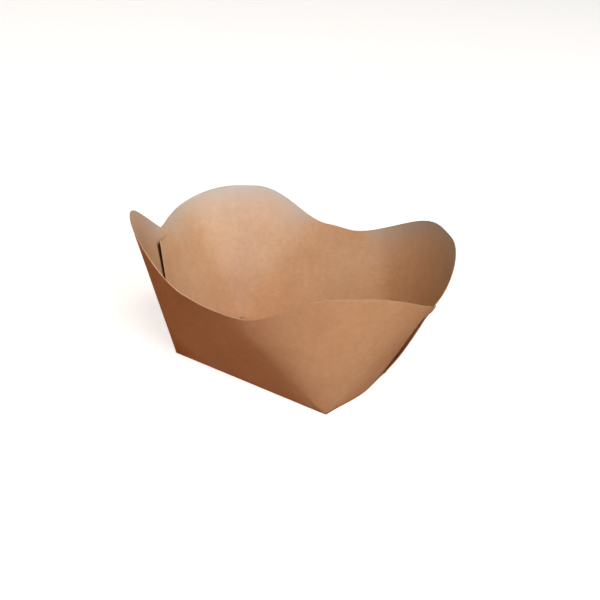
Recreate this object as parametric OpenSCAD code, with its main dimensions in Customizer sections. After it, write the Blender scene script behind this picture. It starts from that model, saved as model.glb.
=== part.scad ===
// Food tray folded from one sheet of kraft board, locked at both ends by a hooked slit.
// Two equal walls stand on the long folds of a flat base. Each wall bends smoothly round
// both corners: its ear passes through the slit of the other wall's hook.
// Millimetres. The origin is on the ground under the middle of the base, +X runs along
// the long folds and +Z is up. The second wall is the first one turned half round.

/* [Base] */
// Length of the base at its corners, along the two long folds
base_l = 100; // [85:1:130]
// Width of the base, from one long fold to the other
base_w = 61.6; // [50:0.2:80]
// Radius of the bend at the foot of each wall, past the ends of its fold
corner_r = 1.6; // [1.4:0.1:3]
// How far the middle of each end bows out at its foot
end_bow = 2.6; // [0:0.1:4]

/* [Board] */
// Thickness of the kraft board
board = 0.42; // [0.3:0.02:0.5]
// Free air between two layers of board that cross or lie on each other
layer_gap = 0.15; // [0.1:0.05:0.25]
// Free air between the cut ends of the base and the end panels
end_gap = 0.25; // [0.2:0.05:0.5]

/* [Mouth] */
// Height at which the spread of the walls is measured
mouth_h = 80; // [76:1:95]
// Length of the mouth at that height
mouth_l = 190.4; // [170:0.2:215]
// Width of the mouth at that height
mouth_w = 173.6; // [150:0.2:190]
// Roundness of the mouth's outline, where 2 is an ellipse and 1 is a diamond
mouth_n = 1.57; // [1.45:0.01:2.2]

/* [Rim] */
// Height of the rounded ear
ear_h = 79.8; // [72:0.1:88]
// Height to which the ear's rim falls at the middle of the end
ear_root_h = 51.9; // [51:0.1:54]
// Height of the rim at the dip of a long side
dip_h = 57.4; // [54:0.1:66]
// Height of the round lobe above the hook
lobe_h = 74.9; // [70:0.1:82]
// Height that the rim would fall to past the hook's point
hook_low_h = 50.2; // [50:0.1:52]
// Angles round the tray from the ear's end at which the rim turns: the ear's top,
ear_from = 34.5; // [30:0.5:38]
ear_to = 46; // [40:0.5:52]
// the dip,
dip_from = 95.5; // [88:0.5:99]
dip_to = 106; // [100:0.5:112]
// the lobe's top
lobe_from = 139.5; // [132:0.5:142]
lobe_to = 147; // [143:0.5:154]
// and the low point that the hook never reaches
hook_low_at = 208; // [202:0.5:216]

/* [Lock] */
// Height of the slit above the base
slit_h = 53; // [52.4:0.1:53.4]
// Height of the open slit between its two lips
slit_open = 0.2; // [0.1:0.05:0.4]
// Angles past the end's middle line, at the slit's height: the slit's closed end,
root_angle = 3.2; // [2.6:0.1:3.6]
// the ear's cut edge,
ear_angle = 5.2; // [4.8:0.1:6]
// the end panel's cut edge
panel_angle = 11.4; // [10.5:0.1:12]
// and the hook's point
hook_angle = 13.3; // [12.6:0.1:15]
// Height of the lower corner of the ear, outside the slit
ear_corner_h = 49; // [46:0.5:51]
// Distance from a corner's bend at which the ear's cut edge reaches the ground
ear_foot_in = 1.5; // [0.5:0.5:6]
// How far the ear's cut edge springs out halfway down
ear_spring = 1.6; // [0:0.1:2.5]
// How far the panel's cut edge stands off the ear at the slit
panel_lift = 2.1; // [0.6:0.1:2.6]

/* [Hidden] */
kraft = [0.77, 0.57, 0.41];

half_l = base_l / 2;
half_w = base_w / 2;
side_run = half_w - corner_r;     // straight half of a short side
half_board = board / 2;
layer_step = board + layer_gap;   // from the middle of one layer to the next
root_share = 0.5;                 // share of that step that a wall has bent in at its slit
end_inset = layer_step + half_board + end_gap;  // from an end panel's middle to the base's cut
base_corner_r = max(0.1, corner_r - end_inset);
spring_reach = 24;                // height above the cut edge up to which the ear springs
spring_fade = 8;                  // height below the slit at which the spring starts to fade

// Columns of faces on each stretch of a wall, and rows on each height
ear_cols = 8;
corner_cols = 42;
front_cols = 24;
panel_cols = 8;
slit_cols = 4;
tab_cols = 6;
hook_cols = 10;
mitre_cols = 6;
low_rows = 5;
top_rows = 2;
rows = low_rows + top_rows;
base_corner_cols = 3;
base_end_cols = 5;

// Turning points of the rim: angle round the tray from the ear's end, and height
rim_turns = [
    [-ear_from, 2 * ear_root_h - ear_h],
    [ear_from, ear_h], [ear_to, ear_h],
    [dip_from, dip_h], [dip_to, dip_h],
    [lobe_from, lobe_h], [lobe_to, lobe_h],
    [hook_low_at, hook_low_h]
];

function mix(a, b, k) = a + (b - a) * k;
function within(k) = min(1, max(0, k));
function ease(k) = (1 - cos(180 * within(k))) / 2;
function unit(v) = v / norm(v);
function signed_pow(v, p) = sign(v) * pow(abs(v), p);

// Height of the rim at an angle, easing from one turning point to the next
function rim_at(angle, i = 0) =
    i >= len(rim_turns) - 2 || angle < rim_turns[i + 1][0]
    ? mix(rim_turns[i][1], rim_turns[i + 1][1],
          ease((angle - rim_turns[i][0]) / (rim_turns[i + 1][0] - rim_turns[i][0])))
    : rim_at(angle, i + 1);

// A wall is ruled by straight lines, each from a foot on the base's outline to a head on the
// mouth's outline. Station s runs round the tray: 0 to 1 is the ear's half of an end panel,
// 1 to 2 a corner, 2 to 3 the long fold, 3 to 4 the other corner, 4 to 6 the whole end
// panel under the hook, and 6 to 7 the next corner, which only the cut ends reach.
function bow(y) = end_bow * ease(1 - abs(y) / side_run);

function arc(sx, sy, angle, r = corner_r) =
    [sx * (half_l - corner_r), sy * side_run] + r * [cos(angle), sin(angle)];

function foot(s) =
    s < 1 ? [-half_l - bow(s * side_run), -s * side_run] :
    s < 2 ? arc(-1, -1, 180 + 90 * (s - 1)) :
    s < 3 ? [(2 * (s - 2) - 1) * (half_l - corner_r), -half_w] :
    s < 4 ? arc(1, -1, 270 + 90 * (s - 3)) :
    s < 6 ? [half_l + bow((s - 5) * side_run), (s - 5) * side_run] :
            arc(1, 1, 90 * (s - 6));

function head_angle(s) =
    s < 1 ? -180 :
    s < 2 ? -180 + 90 * (s - 1) :
    s < 3 ? -90 :
    s < 4 ? -90 + 90 * (s - 3) :
    s < 6 ? 0 : 90 * (s - 6);

function head(s) =
    let (t = head_angle(s))
    [mouth_l / 2 * signed_pow(cos(t), 2 / mouth_n),
     mouth_w / 2 * signed_pow(sin(t), 2 / mouth_n)];

function level(s, z) = mix(foot(s), head(s), z / mouth_h);

// Angle round the tray, from the middle line of the ear's end
function angle_at(s, z) =
    let (p = level(s, z))
    atan2(p.y, p.x) + 180;

// Station between a and b that lies at an angle, at the slit's height, by halving
function station(angle, a, b, steps = 16) =
    let (m = (a + b) / 2)
    steps == 0 ? m :
    angle_at(m, slit_h) < angle ? station(angle, m, b, steps - 1)
                                : station(angle, a, m, steps - 1);

// Height of the rim on a ruling, settled in a few steps
function rim_h(s, z = 0.8 * mouth_h, steps = 8) =
    steps == 0 ? z : rim_h(s, (z + rim_at(angle_at(s, z))) / 2, steps - 1);

// Outward normal of the wall
function normal_at(s, z) =
    let (d = 0.004, a = level(s - d, z), b = level(s + d, z), r = head(s) - foot(s))
    unit(cross([b.x - a.x, b.y - a.y, 0], [r.x, r.y, mouth_h]));

// One skin of the board: side is 1 outside and -1 inside, shift moves the whole layer
function skin(s, z, shift, side) =
    let (p = level(s, z))
    [p.x, p.y, z + half_board] + (shift + side * half_board) * normal_at(s, z);

// Along a long fold the two skins of wall and base meet at a mitre
function fold_skin(s, side) =
    let (p = foot(s), n = normal_at(s, 0), reach = half_board * (1 + n.z) / n.y)
    [p.x, p.y + side * reach, half_board - side * half_board];

// Stations of the cut edges and of the slit's closed end
ear_top_s = station(ear_angle, 0, 1.5);
ear_foot_s = 1 - ear_foot_in / side_run;
root_s = station(180 + root_angle, 5, 6.8);
spread_s = station(180 + ear_angle, 5, 6.8) - 0.02;
panel_end_s = station(180 + panel_angle, 5, 6.8);
hook_end_s = station(180 + hook_angle, 5, 6.8);

// Stations of the columns, from the ear's cut edge to the closed end of the slit
function steps_to(a, b, n) = [for (i = [1:n]) mix(a, b, i / n)];

wall_s = concat(
    [for (i = [0:ear_cols]) mix(ear_top_s, ear_foot_s, i / ear_cols)],
    [1],
    steps_to(1, 2, corner_cols),
    steps_to(2, 3, front_cols),
    steps_to(3, 4, corner_cols),
    steps_to(4, root_s, panel_cols)
);
fold_from = ear_cols + 1 + corner_cols;
fold_to = fold_from + front_cols;
last = len(wall_s) - 1;

tab_s = concat(steps_to(root_s, spread_s, slit_cols), steps_to(spread_s, panel_end_s, tab_cols));
hook_s = concat(steps_to(root_s, spread_s, slit_cols), steps_to(spread_s, hook_end_s, hook_cols));

// The wall bends a little inwards on its way to the slit. From the slit's closed end on its
// lips part: the hook goes outside the other wall's ear, the panel inside it.
function wall_shift(s) = -root_share * layer_step * ease((s - 4) / (root_s - 4));
function spread(s) = ease((s - root_s) / (spread_s - root_s));
function lift(s) = pow(within((s - spread_s) / (panel_end_s - spread_s)), 2);
function hook_shift(s) = layer_step * mix(-root_share, 1, spread(s));
function tab_shift(s, z) =
    -layer_step * mix(root_share, 1, spread(s)) - panel_lift * lift(s) * z / slit_h;
function opening(s) = slit_open / 2 * spread(s);

// The ear's cut edge slopes from its corner down to the ground, and springs out on the way
low_share = slit_h / rim_h(root_s);
function cut_h(i) = i < ear_cols ? ear_corner_h * (1 - i / ear_cols) : 0;
function spring(i, z) =
    i >= ear_cols ? 0 :
    ear_spring * sin(180 * i / ear_cols) * ease(1 - (z - cut_h(i)) / spring_reach)
        * ease((slit_h - z) / spring_fade);
function row_h(low, high, j) =
    let (middle = mix(low, high, low_share))
    j <= low_rows ? mix(low, middle, j / low_rows)
                  : mix(middle, high, (j - low_rows) / top_rows);

// Over a few columns past the ends of the fold, the foot eases from the mitre to the board's edge
function mitre_share(i) =
    ease(1 - max(fold_from - i, i - fold_to, 0) / mitre_cols);

// Points of one skin of a wall: the wall to the slit's end, the panel under the slit and the hook
function wall_points(side) = concat(
    [for (i = [0:last], j = [0:rows])
        let (s = wall_s[i], z = row_h(cut_h(i), rim_h(s), j))
        j == 0 && mitre_share(i) > 0
        ? mix(skin(s, 0, 0, side), fold_skin(s, side), mitre_share(i))
        : skin(s, z, wall_shift(s) + spring(i, z), side)],
    [for (s = tab_s, j = [0:low_rows])
        let (z = (slit_h - opening(s)) * j / low_rows)
        skin(s, z, tab_shift(s, z), side)],
    [for (s = hook_s, j = [0:top_rows])
        let (low = slit_h + opening(s), high = max(rim_h(s), low + board))
        skin(s, mix(low, high, j / top_rows), hook_shift(s), side)]
);

// Half of the base's cut end, from the fold's right end to beside the middle line
base_cut = concat(
    [for (i = [1:base_corner_cols])
        arc(1, -1, -90 + 90 * i / base_corner_cols, base_corner_r)],
    [for (i = [1:base_end_cols])
        let (y = side_run * (1 - i / (base_end_cols + 0.5)))
        [half_l - corner_r + base_corner_r + bow(y), -y]]
);
base_cut_count = len(base_cut);

function base_points(side) =
    let (z = half_board - side * half_board)
    concat([for (p = base_cut) [p.x, p.y, z]],
           [for (i = [base_cut_count - 1:-1:0]) [base_cut[i].x, -base_cut[i].y, z]]);

function half_turn(points) = [for (p = points) [-p.x, -p.y, p.z]];

one_skin = concat(wall_points(1), base_points(1));
size_one = len(one_skin);
skin_size = 2 * size_one;

// Places in the list of points: column i and row j of the wall, the panel and the hook
tab_count = len(tab_s);
hook_count = len(hook_s);
function w(i, j) = i * (rows + 1) + j;
function tab(i, j) =
    i == 0 ? w(last, j) : (last + 1) * (rows + 1) + (i - 1) * (low_rows + 1) + j;
function hook(i, j) =
    i == 0 ? w(last, low_rows + j)
           : (last + 1) * (rows + 1) + tab_count * (low_rows + 1)
             + (i - 1) * (top_rows + 1) + j;
function other(k) = k < size_one ? k + size_one : k - size_one;

// Point k on the way round the base's cut end, from one fold to the other
cut_steps = 2 * base_cut_count + 1;
function cut(k) =
    k == 0 ? w(fold_to, 0) :
    k == cut_steps ? other(w(fold_from, 0)) : size_one - cut_steps + k;

// Four-sided faces of the outer skin of one wall, clockwise seen from outside
quads = concat(
    [for (i = [0:last - 1], j = [0:rows - 1]) [w(i, j), w(i, j + 1), w(i + 1, j + 1), w(i + 1, j)]],
    [for (i = [0:tab_count - 1], j = [0:low_rows - 1])
        [tab(i, j), tab(i, j + 1), tab(i + 1, j + 1), tab(i + 1, j)]],
    [for (i = [0:hook_count - 1], j = [0:top_rows - 1])
        [hook(i, j), hook(i, j + 1), hook(i + 1, j + 1), hook(i + 1, j)]],
    [for (k = [0:base_cut_count - 1])
        [cut(k), cut(k + 1), cut(cut_steps - k - 1), cut(cut_steps - k)]]
);
// The base lies between the two folds
base_quads = [for (k = [0:front_cols - 1])
    [w(fold_from + k, 0), w(fold_from + k + 1, 0),
     other(w(fold_to - k - 1, 0)), other(w(fold_to - k, 0))]];

// Cut edges of the sheet, in the direction of the outer skin's faces
edges = concat(
    [for (j = [0:rows - 1]) [w(0, j), w(0, j + 1)]],
    [for (i = [0:last - 1]) [w(i, rows), w(i + 1, rows)]],
    [for (i = [0:last - 1]) if (i < fold_from || i >= fold_to) [w(i + 1, 0), w(i, 0)]],
    [for (i = [0:tab_count - 1]) [tab(i + 1, 0), tab(i, 0)]],
    [for (j = [0:low_rows - 1]) [tab(tab_count, j + 1), tab(tab_count, j)]],
    [for (i = [0:tab_count - 1]) [tab(i, low_rows), tab(i + 1, low_rows)]],
    [for (i = [0:hook_count - 1]) [hook(i + 1, 0), hook(i, 0)]],
    [for (j = [0:top_rows - 1]) [hook(hook_count, j + 1), hook(hook_count, j)]],
    [for (i = [0:hook_count - 1]) [hook(i, top_rows), hook(i + 1, top_rows)]],
    [for (k = [0:cut_steps - 1]) [cut(k), cut(k + 1)]]
);

function turned(list) = [for (f = list) [for (k = f) other(k)]];
function inner(k) = k + skin_size;
function triangles(list) = [for (f = list) each [[f[0], f[1], f[2]], [f[0], f[2], f[3]]]];
function reversed(list) =
    [for (f = list) [for (i = [len(f) - 1:-1:0]) inner(f[i])]];

module tray() {
    outer = triangles(concat(quads, turned(quads), base_quads));
    rims = triangles([for (e = concat(edges, turned(edges)))
        [e[1], e[0], inner(e[0]), inner(e[1])]]);
    one_inner = concat(wall_points(-1), base_points(-1));
    color(kraft)
        polyhedron(
            points = concat(one_skin, half_turn(one_skin), one_inner, half_turn(one_inner)),
            faces = concat(outer, reversed(outer), rims),
            convexity = 10
        );
}

tray();
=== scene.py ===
"""Kraft board food tray: the finish of the folded sheet, a pale floor, soft light and the camera."""
import math

import bmesh
import bpy
from mathutils import Matrix, Vector
from mathutils.kdtree import KDTree


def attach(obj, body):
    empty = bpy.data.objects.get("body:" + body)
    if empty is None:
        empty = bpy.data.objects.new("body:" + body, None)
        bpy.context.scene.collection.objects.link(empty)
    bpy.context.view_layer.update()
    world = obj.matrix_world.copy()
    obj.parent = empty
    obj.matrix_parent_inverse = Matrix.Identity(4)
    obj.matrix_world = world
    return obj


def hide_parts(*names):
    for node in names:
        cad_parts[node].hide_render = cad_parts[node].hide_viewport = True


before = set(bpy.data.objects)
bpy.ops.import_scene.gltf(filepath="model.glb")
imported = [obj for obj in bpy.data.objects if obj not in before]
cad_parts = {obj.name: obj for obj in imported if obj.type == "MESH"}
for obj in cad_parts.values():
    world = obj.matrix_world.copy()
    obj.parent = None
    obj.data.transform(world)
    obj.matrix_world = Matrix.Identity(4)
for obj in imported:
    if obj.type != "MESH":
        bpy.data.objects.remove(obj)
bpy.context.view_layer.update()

MM = 0.001

# The folded sheet
WELD = 0.002 * MM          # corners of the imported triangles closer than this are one
FLAT_PAIR = math.radians(40)   # two triangles bent less than this may form one four-sided face
SHARP = math.radians(35)   # a bend over this is a cut edge or a scored fold
SMOOTHING = 2              # subdivision levels of the board
CUT_WIDTH = 0.8 * MM       # the faces of a cut edge are narrower than this
LEVEL = 0.9                # share of z in a face's normal above which the face is the base's
SAME_WAY = 0.2             # faces whose normals agree less than this lie across a fold
TINY = 1e-9
SOFT_OUTSIDE = 24 * MM     # distance over which the outside's shading evens out its bends
SOFT_INSIDE = 9 * MM
SHEEN_FROM = 62 * MM         # height above which the inside near the rim is painted greyer, a painted sheen
SHEEN_DEPTH = 12 * MM

# Sizes of the board's pattern and relief; a fibre has a length and a width
CLOUD = 26 * MM
MOTTLE = 3.6 * MM
FIBRE_ALONG = (5 * MM, 0.45 * MM)
FIBRE_ACROSS = (4 * MM, 0.5 * MM)
FLECK = 0.9 * MM
RELIEF = 0.25 * MM
CUT_FLUFF = 0.35 * MM
CUT_UNEVEN = 6 * MM
CUT_RELIEF = 0.08 * MM

# Colours, linear: the kraft's own, painted sheen and shade, the cut pulp and the floor
KRAFT = (0.66, 0.39, 0.22)
KRAFT_DARK = (0.54, 0.29, 0.15)
KRAFT_PALE = (0.74, 0.47, 0.285)
# painted sheen: the grey that the inside turns towards near its high rim
SHEEN_GREY = (0.55, 0.50, 0.47)
# painted shade in the gap beside each end panel's free edge
GAP_BROWN = (0.05, 0.015, 0.006)
PULP = (0.84, 0.62, 0.44)
INSIDE_LIFT = 1.06         # the coated inside's colours are lifted a little above the outside's: painted light that brightens the inside
FLOOR_WHITE = (0.95, 0.95, 0.95)
SHADE_BROWN = (0.05, 0.02, 0.01)

# Camera, from the corners of the base and the line of the rim in the 600 x 600 frame
FRAME_PX = 600
AZIMUTH = math.radians(33.12)
ELEVATION = math.radians(24.18)
ROLL = math.radians(4.54)
DISTANCE = 551.8 * MM
AIM_HEIGHT = 40 * MM
FOCAL_PX = 1026.9
CENTRE_PX = (285.9, 296.0)
SENSOR_MM = 36.0
CLIP = (0.01, 100.0)

# The end panel's free edge at the left end: its foot, its top at the slit, and the way out
GAP_FOOT = Vector((-50.0, -29.2, 0)) * MM
GAP_TOP = Vector((-78.8, -15.9, 53)) * MM
GAP_OUTWARD = Vector((-0.87, -0.26, -0.41))

# Where the shade in that gap begins and the length over which it grows: its width measured from the
# edge towards the inside of the gap, its depth behind the panel, and its height
GAP_BACK = (-4.5 * MM, 0.4 * MM)
GAP_EDGE = (-0.4 * MM, 0.5 * MM)
GAP_DEPTH = (-1.0 * MM, 0.2 * MM)
GAP_HEAD = (51.5 * MM, 1.5 * MM)
GAP_BOTTOM = (12 * MM, 8 * MM)

# The closed ends of the slits: degrees past the middle of an end, and height
SLIT_TURN = (3.35, 5.7)
SLIT_Z = (52.4 * MM, 53.9 * MM)
SLIT_LIFT = 0.9 * MM
SLIT_STEP = 2 * MM         # a lip's corner has a neighbour at least this far below the slit

FLOOR_RADIUS = 6.0
FLOOR_DROP = 0.1 * MM      # the floor lies this far under the tray
DOME_FOOT = -0.1           # the dome over the floor is cut off below this height
FLOOR_GLOW = 0.7
# Painted shade on the floor: dark brown under the base, whose ends bow out, and beside the corner seen
# from above
SHADE_HALF = (50.1 * MM, 30.9 * MM)
SHADE_BOW = 2.6 * MM
CORNER = (-49.2 * MM, 29.9 * MM)
CORNER_HALF = 1.5 * MM
LIGHT_DISTANCE = 3.0

# The world's glow by the height of a direction: 0 is straight down, 0.5 level and 1 straight up
GLOW_STRENGTH = 1.2
GLOW = (
    (0.28, (0.12, 0.016, 0.001)),
    (0.31, (1.0, 0.54, 0.28)),
    (0.45, (1.0, 0.54, 0.28)),
    (0.475, (0.0, 0.0, 0.0)),
)


def direction(azimuth, elevation):
    """Unit vector from the tray towards a camera or light, azimuth 0 in front and 90 on the right."""
    return Vector((
        math.sin(azimuth) * math.cos(elevation),
        -math.cos(azimuth) * math.cos(elevation),
        math.sin(elevation),
    ))


def set_stops(ramp, stops):
    """Gives a colour ramp its stops: places with a shade of grey or a colour."""
    while len(ramp.elements) < len(stops):
        ramp.elements.new(1.0)
    for element, (place, shade) in zip(ramp.elements, stops):
        colour = shade if isinstance(shade, tuple) else (shade, shade, shade)
        element.position = place
        element.color = (*colour, 1.0)


class Value:
    """A shader socket that takes part in Python sums: each operator adds one Math node."""

    def __init__(self, graph, socket):
        self.graph = graph
        self.socket = socket

    def math(self, operation, *terms):
        return self.graph.node("ShaderNodeMath", {"operation": operation}, dict(enumerate(terms)))

    def __add__(self, other):
        return self.math("ADD", self, other)

    def __radd__(self, other):
        return self.math("ADD", other, self)

    def __sub__(self, other):
        return self.math("SUBTRACT", self, other)

    def __rsub__(self, other):
        return self.math("SUBTRACT", other, self)

    def __mul__(self, other):
        return self.math("MULTIPLY", self, other)

    def __rmul__(self, other):
        return self.math("MULTIPLY", other, self)

    def clamp(self):
        return self.math("MAXIMUM", self.math("MINIMUM", self, 1.0), 0.0)


class Graph:
    """A material's nodes. Values and links go into sockets, settings go onto the node."""

    def __init__(self, name):
        self.material = bpy.data.materials.new(name)
        self.material.use_nodes = True
        self.tree = self.material.node_tree
        self.shader = self.tree.nodes["Principled BSDF"]

    def feed(self, socket, value):
        if isinstance(value, Value):
            self.tree.links.new(value.socket, socket)
        elif socket.type == "RGBA":
            socket.default_value = (*value, 1.0)
        else:
            socket.default_value = value

    def node(self, kind, settings=None, inputs=None, output=0):
        made = self.tree.nodes.new(kind)
        for name, value in (settings or {}).items():
            if name == "stops":
                set_stops(made.color_ramp, value)
            else:
                setattr(made, name, value)
        for name, value in (inputs or {}).items():
            self.feed(made.inputs[name], value)
        return Value(self, made.outputs[output])

    def mix(self, share, first, second):
        """Colour between two others; sockets 6 and 7 of a Mix node are its colours."""
        return self.node(
            "ShaderNodeMix", {"data_type": "RGBA"}, {0: share, 6: first, 7: second}, output=2
        )

    def spot(self):
        return self.node("ShaderNodeTexCoord", output="Object")

    def part(self, vector, axis):
        """One of a vector's coordinates: axis 0, 1 or 2."""
        return self.node("ShaderNodeSeparateXYZ", None, {0: vector}, output=axis)

    def place(self, scale=(1, 1, 1), turn=(0, 0, 0)):
        """Object coordinates, stretched and turned."""
        return self.node("ShaderNodeMapping", None, {
            "Vector": self.spot(), "Scale": scale, "Rotation": turn,
        })

    def dot(self, vector, way):
        """How far a place lies along a fixed direction."""
        return self.node("ShaderNodeVectorMath", {"operation": "DOT_PRODUCT"}, {
            0: vector, 1: tuple(way),
        }, output=1)

    def noise(self, size, place, detail=3.0, roughness=0.5, distortion=0.0):
        """Noise from 0 to 1 whose blots are about the given size across, in metres."""
        return self.node("ShaderNodeTexNoise", None, {
            "Vector": place, "Scale": 1 / size, "Detail": detail,
            "Roughness": roughness, "Distortion": distortion,
        })

    def ramp(self, value, *stops):
        return self.node("ShaderNodeValToRGB", {"stops": stops}, {0: value})

    def finish(self, **inputs):
        for name, value in inputs.items():
            self.feed(self.shader.inputs[name.replace("_", " ")], value)
        return self.material


def fibres(graph, length, width, turn):
    """Long thin streaks of pulp fibre, lying along one direction of the board."""
    place = graph.place(scale=(width / length, 1, 1), turn=turn)
    return graph.noise(width, place, detail=2.0, roughness=0.6, distortion=0.4)


def rise(value, start, length):
    """0 up to the start, and 1 from a length further on."""
    return ((value - start) * (1 / length)).clamp()


def gap_shade(graph):
    """Darkness in the gap beside the free edge of each end panel, the same after a half turn."""
    spot = graph.spot()
    along = graph.part(spot, 0)
    side = along.math("SIGN", along) * -1.0
    turned = graph.node("ShaderNodeVectorMath", {"operation": "MULTIPLY"}, {
        0: spot, 1: graph.node("ShaderNodeCombineXYZ", None, {0: side, 1: side, 2: 1.0}),
    })
    line = GAP_TOP - GAP_FOOT
    across = line.cross(GAP_OUTWARD).normalized()
    outward = across.cross(line).normalized()
    reach = graph.dot(turned, across) - GAP_FOOT.dot(across)
    depth = graph.dot(turned, outward) - GAP_FOOT.dot(outward)
    height = graph.part(spot, 2)
    wide = rise(reach, *GAP_BACK) * (1.0 - rise(reach, *GAP_EDGE))
    high = rise(height, *GAP_BOTTOM) * (1.0 - rise(height, *GAP_HEAD))
    return wide * high * rise(depth, *GAP_DEPTH)


def kraft_face(name, lift, roughness, coat, coat_roughness, inner=False):
    """One side of the kraft board: cloudy tone, crossed fibres and small flecks."""
    g = Graph(name)
    base, dark, pale = (
        tuple(part * lift for part in shade) for shade in (KRAFT, KRAFT_DARK, KRAFT_PALE)
    )
    clouds = g.noise(CLOUD, g.place(), detail=3.0, roughness=0.55)
    mottle = g.noise(MOTTLE, g.place(turn=(0.4, 0.2, 0.7)), detail=4.0, roughness=0.6)
    along = fibres(g, *FIBRE_ALONG, (0.0, 0.0, 0.1))
    across = fibres(g, *FIBRE_ACROSS, (0.3, 0.9, 1.3))
    specks = g.noise(FLECK, g.place(turn=(0.9, 0.1, 0.3)), detail=1.0)
    flecks = g.ramp(specks, (0.66, 0.0), (0.74, 1.0))

    tone = (clouds * 0.42 + mottle * 0.36 + along * 0.16 + across * 0.16 - 0.05).clamp()
    colour = g.mix(g.ramp(tone, (0.36, 0.0), (0.5, 0.5), (0.64, 1.0)), dark, pale)
    colour = g.mix(0.35, colour, base)
    streaks = g.ramp(along * 0.5 + across * 0.5, (0.42, 0.0), (0.62, 1.0))
    colour = g.mix(streaks * 0.22, colour, pale)
    colour = g.mix(flecks * 0.22, colour, dark)
    if inner:
        # Painted sheen: the inside turns greyer near its high rim
        near = g.node("ShaderNodeAttribute", {"attribute_name": "rubbed"}, output=2)
        colour = g.mix((near * (clouds * 0.6 + 0.5)).clamp(), colour, SHEEN_GREY)
        # Painted shade in the gap beside each end panel's free edge
        colour = g.mix(gap_shade(g) * 0.95, colour, GAP_BROWN)

    relief = along * 0.35 + across * 0.35 + mottle * 0.6 + clouds * 1.5
    bend = g.node("ShaderNodeAttribute", {"attribute_name": "soft_normal"}, output=1)
    bump = g.node("ShaderNodeBump", None, {
        "Strength": 0.35, "Distance": RELIEF, "Height": relief, "Normal": bend,
    })
    gloss = (roughness - 0.06 + mottle * 0.12 + along * 0.04).clamp()
    return g.finish(
        Base_Color=colour, Roughness=gloss, Normal=bump,
        Coat_Weight=coat, Coat_Roughness=coat_roughness, Specular_IOR_Level=0.5,
    )


def cut_board(name):
    """The raw cut edge: pale pulp in thin layers."""
    g = Graph(name)
    fluff = g.noise(CUT_FLUFF, g.place(), detail=2.0, roughness=0.6)
    uneven = g.noise(CUT_UNEVEN, g.place(), detail=2.0)
    colour = g.mix((fluff * 0.6 + uneven * 0.4).clamp(), KRAFT_DARK, PULP)
    bump = g.node("ShaderNodeBump", None, {"Strength": 0.5, "Distance": CUT_RELIEF, "Height": fluff})
    return g.finish(Base_Color=colour, Roughness=0.85, Normal=bump, Specular_IOR_Level=0.3)


OUTSIDE, INSIDE, CUT = range(3)


def face_side(face):
    """Which side of the board a face of the merged mesh shows."""
    sharp = sum(edge.calc_face_angle(0.0) > SHARP for edge in face.edges)
    if sharp >= 2 and min(edge.calc_length() for edge in face.edges) < CUT_WIDTH and is_cut(face):
        return CUT
    centre = face.calc_center_median()
    if abs(face.normal.z) > LEVEL:
        return OUTSIDE if face.normal.z < 0 else INSIDE
    return OUTSIDE if face.normal.x * centre.x + face.normal.y * centre.y > 0 else INSIDE


def is_cut(face):
    """A cut edge's face joins the two skins: both its long edges are sharp."""
    longest = sorted(face.edges, key=lambda edge: edge.calc_length())[-2:]
    return all(edge.calc_face_angle(0.0) > SHARP for edge in longest)


def soften(bm):
    """Keeps, for every face corner, the side's normal averaged over its surroundings."""
    layer = bm.loops.layers.float_vector.new("soft_normal")
    for side, reach in ((OUTSIDE, SOFT_OUTSIDE), (INSIDE, SOFT_INSIDE)):
        walls = [f for f in bm.faces if f.material_index == side and abs(f.normal.z) < LEVEL]
        sizes = [f.calc_area() for f in walls]
        tree = KDTree(len(walls))
        for place, face in enumerate(walls):
            tree.insert(face.calc_center_median(), place)
        tree.balance()
        known = {}
        for face in walls:
            for loop in face.loops:
                if loop.vert.index not in known:
                    total = face.normal * TINY
                    for _, place, away in tree.find_range(loop.vert.co, reach):
                        if walls[place].normal.dot(face.normal) > SAME_WAY:
                            share = sizes[place] * (1 - (away / reach) ** 2) ** 2
                            total += walls[place].normal * share
                    known[loop.vert.index] = total.normalized()
                loop[layer] = known[loop.vert.index]
    for face in bm.faces:
        if face.material_index == CUT or abs(face.normal.z) >= LEVEL:
            for loop in face.loops:
                loop[layer] = face.normal


def mark_sheen(bm):
    """Marks how near the board is to the high parts of its cut rim, from 0 to 1: the share of painted
    sheen.
    """
    layer = bm.verts.layers.float.new("rubbed")
    rim = [
        v for v in bm.verts
        if v.co.z > SHEEN_FROM and any(f.material_index == CUT for f in v.link_faces)
    ]
    tree = KDTree(len(rim))
    for place, vert in enumerate(rim):
        tree.insert(vert.co, place)
    tree.balance()
    for vert in bm.verts:
        vert[layer] = max(0.0, 1 - tree.find(vert.co)[2] / SHEEN_DEPTH)


def close_slits(bm):
    """Lifts the panel's lip beside the closed end of each slit, so that no light shows through."""
    lips = []
    for vert in bm.verts:
        x, y, z = vert.co
        turn = math.degrees(math.atan2(abs(y), abs(x)))
        if x * y > 0 and SLIT_TURN[0] < turn < SLIT_TURN[1] and SLIT_Z[0] < z < SLIT_Z[1]:
            if any(edge.other_vert(vert).co.z < SLIT_Z[0] - SLIT_STEP for edge in vert.link_edges):
                lips.append(vert)
    bmesh.ops.translate(bm, verts=lips, vec=(0, 0, SLIT_LIFT))


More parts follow.
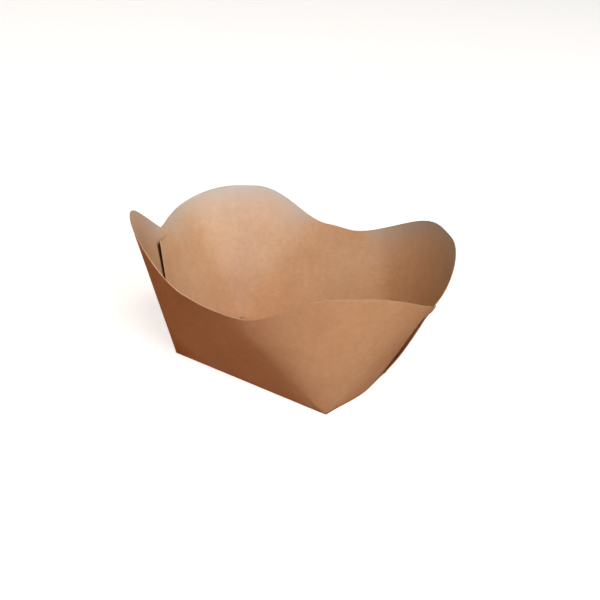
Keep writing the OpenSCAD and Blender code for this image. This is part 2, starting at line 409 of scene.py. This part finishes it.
def folded_sheet(node):
    """The CAD sheet as one smooth mesh, with sharp cut edges and folds and its three surfaces."""
    bm = bmesh.new()
    bm.from_mesh(node.data)
    bmesh.ops.remove_doubles(bm, verts=bm.verts, dist=WELD)
    bmesh.ops.join_triangles(
        bm, faces=bm.faces, angle_face_threshold=FLAT_PAIR, angle_shape_threshold=math.pi
    )
    close_slits(bm)
    crease = bm.edges.layers.float.new("crease_edge")
    for edge in bm.edges:
        edge[crease] = 1.0 if edge.calc_face_angle(0.0) > SHARP else 0.0
    for face in bm.faces:
        face.material_index = face_side(face)
        face.smooth = True
    soften(bm)
    mark_sheen(bm)
    mesh = bpy.data.meshes.new("tray_sheet")
    bm.to_mesh(mesh)
    bm.free()
    piece = bpy.data.objects.new("tray_sheet", mesh)
    bpy.context.scene.collection.objects.link(piece)
    smooth = piece.modifiers.new("smooth board", "SUBSURF")
    smooth.levels = smooth.render_levels = SMOOTHING
    return piece


def dress_tray():
    """The finished sheet with its materials, in the order of OUTSIDE, INSIDE and CUT."""
    piece = folded_sheet(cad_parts["tray"])
    for material in (
        kraft_face("kraft outside", lift=1.0, roughness=0.52, coat=0.15, coat_roughness=0.4),
        kraft_face(
            "kraft inside, coated",
            lift=INSIDE_LIFT, roughness=0.45, coat=0.35, coat_roughness=0.3, inner=True,
        ),
        cut_board("cut edge"),
    ):
        piece.data.materials.append(material)
    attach(piece, "root")
    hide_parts("tray")


def pale_floor():
    """A white sweep of floor under a dome. It takes the tray's shadow but throws no light back on it."""
    bm = bmesh.new()
    bmesh.ops.create_uvsphere(bm, u_segments=96, v_segments=24, radius=FLOOR_RADIUS)
    bmesh.ops.delete(bm, geom=[v for v in bm.verts if v.co.z < DOME_FOOT], context="VERTS")
    bmesh.ops.create_circle(bm, cap_ends=True, segments=96, radius=FLOOR_RADIUS)
    bmesh.ops.translate(bm, verts=bm.verts, vec=(0, 0, -FLOOR_DROP))
    mesh = bpy.data.meshes.new("floor")
    bm.to_mesh(mesh)
    bm.free()
    floor = bpy.data.objects.new("floor", mesh)
    bpy.context.scene.collection.objects.link(floor)
    g = Graph("white floor")
    spot = g.spot()
    x, y = (g.part(spot, axis) for axis in range(2))
    inward = (1.0 - y.math("ABSOLUTE", y) * (1 / SHADE_HALF[1])).clamp()
    bow = inward * inward * (3.0 - inward * 2.0) * SHADE_BOW

    def within(place, middle, half):
        return place.math("LESS_THAN", place.math("ABSOLUTE", place - middle), half)

    # Painted shade: the floor turns dark brown under the base and beside its back left corner
    under = within(x, 0.0, bow + SHADE_HALF[0]) * within(y, 0.0, SHADE_HALF[1])
    corner = within(x, CORNER[0], CORNER_HALF) * within(y, CORNER[1], CORNER_HALF)
    under = (under + corner).clamp()
    mesh.materials.append(g.finish(
        Base_Color=g.mix(under, FLOOR_WHITE, KRAFT_DARK), Roughness=0.9,
        Emission_Color=g.mix(under, (1, 1, 1), SHADE_BROWN), Emission_Strength=FLOOR_GLOW,
    ))
    floor.visible_diffuse = False
    floor.visible_glossy = False


def studio_world():
    """Dark above, and a warm glow from below all round, as from a wooden table."""
    world = bpy.data.worlds.new("studio")
    bpy.context.scene.world = world
    world.use_nodes = True
    tree = world.node_tree
    ray = tree.nodes.new("ShaderNodeTexCoord")
    split = tree.nodes.new("ShaderNodeSeparateXYZ")
    ramp = tree.nodes.new("ShaderNodeValToRGB")
    tree.links.new(ray.outputs["Generated"], split.inputs[0])
    remap = tree.nodes.new("ShaderNodeMapRange")
    remap.inputs["From Min"].default_value = -1.0
    tree.links.new(split.outputs["Z"], remap.inputs["Value"])
    tree.links.new(remap.outputs[0], ramp.inputs[0])
    set_stops(ramp.color_ramp, GLOW)
    tree.nodes["Background"].inputs["Strength"].default_value = GLOW_STRENGTH
    tree.links.new(ramp.outputs[0], tree.nodes["Background"].inputs["Color"])


def area_light(name, azimuth, elevation, size, power, colour):
    """A soft round lamp that faces the tray: degrees, metres and watts."""
    lamp = bpy.data.lights.new(name, "AREA")
    lamp.shape = "DISK"
    lamp.size = size
    lamp.energy = power
    lamp.color = colour
    light = bpy.data.objects.new(name, lamp)
    bpy.context.scene.collection.objects.link(light)
    back = direction(math.radians(azimuth), math.radians(elevation))
    light.location = back * LIGHT_DISTANCE + Vector((0, 0, AIM_HEIGHT))
    light.rotation_mode = "QUATERNION"
    light.rotation_quaternion = back.to_track_quat("Z", "Y")


def lights():
    area_light("lamp", 40, 54, 1.50, 46.0, (1.0, 0.80, 0.65))
    area_light("high", 85, 60, 1.50, 7.0, (1.0, 0.85, 0.72))
    area_light("window", 62, 27, 1.25, 29.0, (0.50, 0.80, 1.0))
    area_light("front", 34, 13, 1.25, 14.5, (1.0, 0.93, 0.8))
    area_light("side", 86, 7, 1.10, 20.5, (1.0, 0.96, 0.76))
    area_light("far", -45, 52, 1.50, 4.5, (1.0, 0.82, 0.6))


def camera():
    """The photograph's own view: the lens and shift follow from the frame's size in pixels."""
    data = bpy.data.cameras.new("camera")
    data.sensor_width = SENSOR_MM
    data.lens = FOCAL_PX / FRAME_PX * SENSOR_MM
    data.shift_x = (FRAME_PX / 2 - CENTRE_PX[0]) / FRAME_PX
    data.shift_y = (CENTRE_PX[1] - FRAME_PX / 2) / FRAME_PX
    data.clip_start, data.clip_end = CLIP
    made = bpy.data.objects.new("camera", data)
    bpy.context.scene.collection.objects.link(made)
    back = direction(AZIMUTH, ELEVATION)
    level = Vector((math.cos(AZIMUTH), math.sin(AZIMUTH), 0))
    upright = back.cross(level)
    right = level * math.cos(ROLL) + upright * math.sin(ROLL)
    above = upright * math.cos(ROLL) - level * math.sin(ROLL)
    turned = Matrix((right, above, back)).transposed().to_4x4()
    made.matrix_world = Matrix.Translation(back * DISTANCE + Vector((0, 0, AIM_HEIGHT))) @ turned
    bpy.context.scene.camera = made


camera()
dress_tray()
pale_floor()
studio_world()
lights()
bpy.context.scene.view_settings.view_transform = "Standard"
